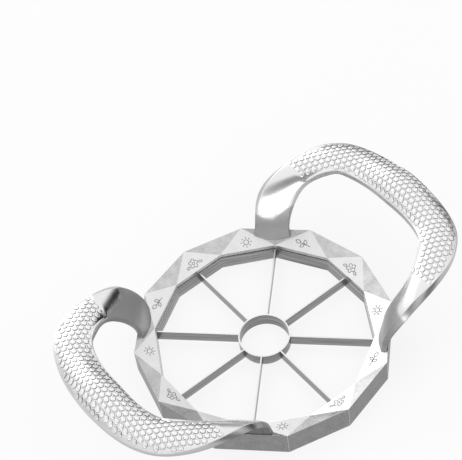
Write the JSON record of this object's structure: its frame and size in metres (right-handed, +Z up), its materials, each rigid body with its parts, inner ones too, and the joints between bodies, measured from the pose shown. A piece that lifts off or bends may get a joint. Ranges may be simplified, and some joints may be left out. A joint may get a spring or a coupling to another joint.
{
  "type": "apple slicer",
  "caption": "Hand-pressed apple slicer: a faceted cast frame with raised loop handles carries radial blades and a core-cutting ring.",
  "frame": {"origin": "on the cutting board, on the axis of the core ring", "axes": "+X from the middle of the frame to one grip, +Y along a blade, +Z up, towards the hands"},
  "size_m": [0.1738, 0.11, 0.0446],
  "materials": {
    "cast_aluminium": "as cast and tumbled on the frame, polished on the handles",
    "blade_steel": "brushed stainless steel"
  },
  "bodies": {
    "root": {"cast_frame": "cast_aluminium", "blade_band": "blade_steel", "core_ring": "blade_steel", "slicing_blade_1": "blade_steel", "slicing_blade_2": "blade_steel", "slicing_blade_3": "blade_steel", "slicing_blade_4": "blade_steel", "slicing_blade_5": "blade_steel", "slicing_blade_6": "blade_steel", "slicing_blade_7": "blade_steel", "slicing_blade_8": "blade_steel"}
  },
  "joints": []
}
